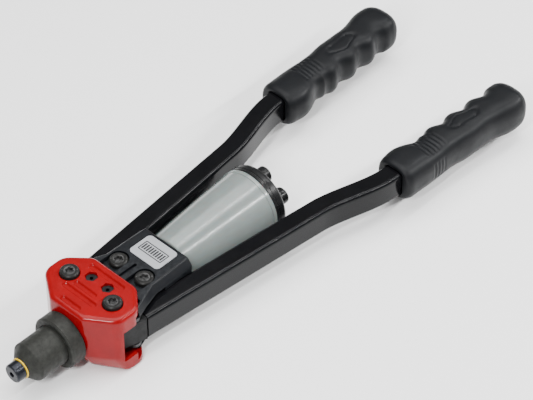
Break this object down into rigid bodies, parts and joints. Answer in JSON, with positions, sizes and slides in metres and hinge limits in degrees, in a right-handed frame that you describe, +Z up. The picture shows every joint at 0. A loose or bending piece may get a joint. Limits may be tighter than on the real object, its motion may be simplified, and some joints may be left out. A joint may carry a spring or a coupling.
{
  "type": "hand riveter",
  "caption": "Two-handed lever riveter: pull head with nosepiece, sliding jaw carriage, see-through collection bottle and two long arms with moulded grips.",
  "frame": {"origin": "centre of the bounding box in plan, on the plane of the housing's underside", "axes": "+X from the nose to the grips along the tool, +Y to the left arm, +Z up out of the face with the bolt heads and the label"},
  "size_m": [0.424, 0.1552, 0.0546],
  "materials": {
    "red_paint": "glossy red paint on a casting",
    "black_paint": "glossy black paint on steel tube",
    "black_casting": "satin black coated casting",
    "black_oxide": "matte blackened steel",
    "steel": "plain turned and stamped steel",
    "yellow_paint": "yellow size ring",
    "label_alloy": "brushed alloy plate with a printed frame",
    "bottle_plastic": "translucent frosted plastic",
    "cap_plastic": "satin black moulded plastic",
    "grip_rubber": "satin black moulded rubber"
  },
  "bodies": {
    "head": {"head_housing": "red_paint", "nose_barrel": "black_oxide", "barrel_collar": "black_oxide", "nosepiece": "black_oxide", "nosepiece_size_ring": "yellow_paint", "spare_nosepiece_left": "black_oxide", "spare_nosepiece_right": "black_oxide", "fulcrum_bolt_left": "black_oxide", "fulcrum_bolt_right": "black_oxide", "fulcrum_nut_left": "black_oxide", "fulcrum_nut_right": "black_oxide"},
    "carriage": {"carriage_upper_half": "black_casting", "carriage_lower_half": "black_casting", "carriage_bolt_left": "black_oxide", "carriage_bolt_right": "black_oxide", "carriage_nut_left": "black_oxide", "carriage_nut_right": "black_oxide", "carriage_spacer_left": "steel", "carriage_spacer_right": "steel", "carriage_label": "label_alloy", "pull_tube": "steel", "lock_nut": "black_oxide", "jaw_case": "steel", "jaw_spring": "steel", "collection_bottle": "bottle_plastic"},
    "jaws": {"jaw_1": "steel", "jaw_2": "steel", "jaw_3": "steel", "jaw_pusher": "steel"},
    "cap": {"bottle_cap": "cap_plastic"},
    "arm_left": {"arm_tube_left": "black_paint", "arm_end_left": "black_oxide", "pivot_bush_left": "steel", "link_pin_left": "steel", "grip_left": "grip_rubber"},
    "link_left": {"link_upper_left": "steel", "link_lower_left": "steel"},
    "arm_right": {"arm_tube_right": "black_paint", "arm_end_right": "black_oxide", "pivot_bush_right": "steel", "link_pin_right": "steel", "grip_right": "grip_rubber"},
    "link_right": {"link_upper_right": "steel", "link_lower_right": "steel"}
  },
  "joints": [
    {"name": "arm_left_swing", "type": "hinge", "parent": "head", "child": "arm_left", "pos_m": [-0.1414, 0.02, 0.0252], "axis": [0, 0, 1], "range_deg": [0, 50]},
    {"name": "arm_right_swing", "type": "hinge", "parent": "head", "child": "arm_right", "pos_m": [-0.1414, -0.02, 0.0252], "axis": [0, 0, 1], "range_deg": [-50, 0]},
    {"name": "carriage_slide", "type": "slide", "parent": "head", "child": "carriage", "axis": [1, 0, 0], "range_m": [-0.01264, 0]},
    {"name": "link_left_turn", "type": "hinge", "parent": "carriage", "child": "link_left", "pos_m": [-0.1059, 0.012, 0.0252], "axis": [0, 0, 1], "range_deg": [-15.8, 0]},
    {"name": "link_right_turn", "type": "hinge", "parent": "carriage", "child": "link_right", "pos_m": [-0.1059, -0.012, 0.0252], "axis": [0, 0, 1], "range_deg": [0, 15.8]},
    {"name": "jaw_release", "type": "slide", "parent": "carriage", "child": "jaws", "axis": [1, 0, 0], "range_m": [0, 0.0025], "stiffness_N_per_m": 1200, "springref_m": -0.002, "deforming": ["jaw_spring"]},
    {"name": "cap_twist", "type": "hinge", "parent": "carriage", "child": "cap", "pos_m": [0.0056, 0, 0.0252], "axis": [1, 0, 0], "range_deg": [0, 90]}
  ],
  "couplings": [
    {"joint": "arm_right_swing", "follows": "arm_left_swing", "ratio": -1},
    {"joint": "carriage_slide", "follows": "arm_left_swing", "m_per_rad": -0.014424},
    {"joint": "link_left_turn", "follows": "arm_left_swing", "ratio": -0.315},
    {"joint": "link_right_turn", "follows": "arm_left_swing", "ratio": 0.315}
  ]
}
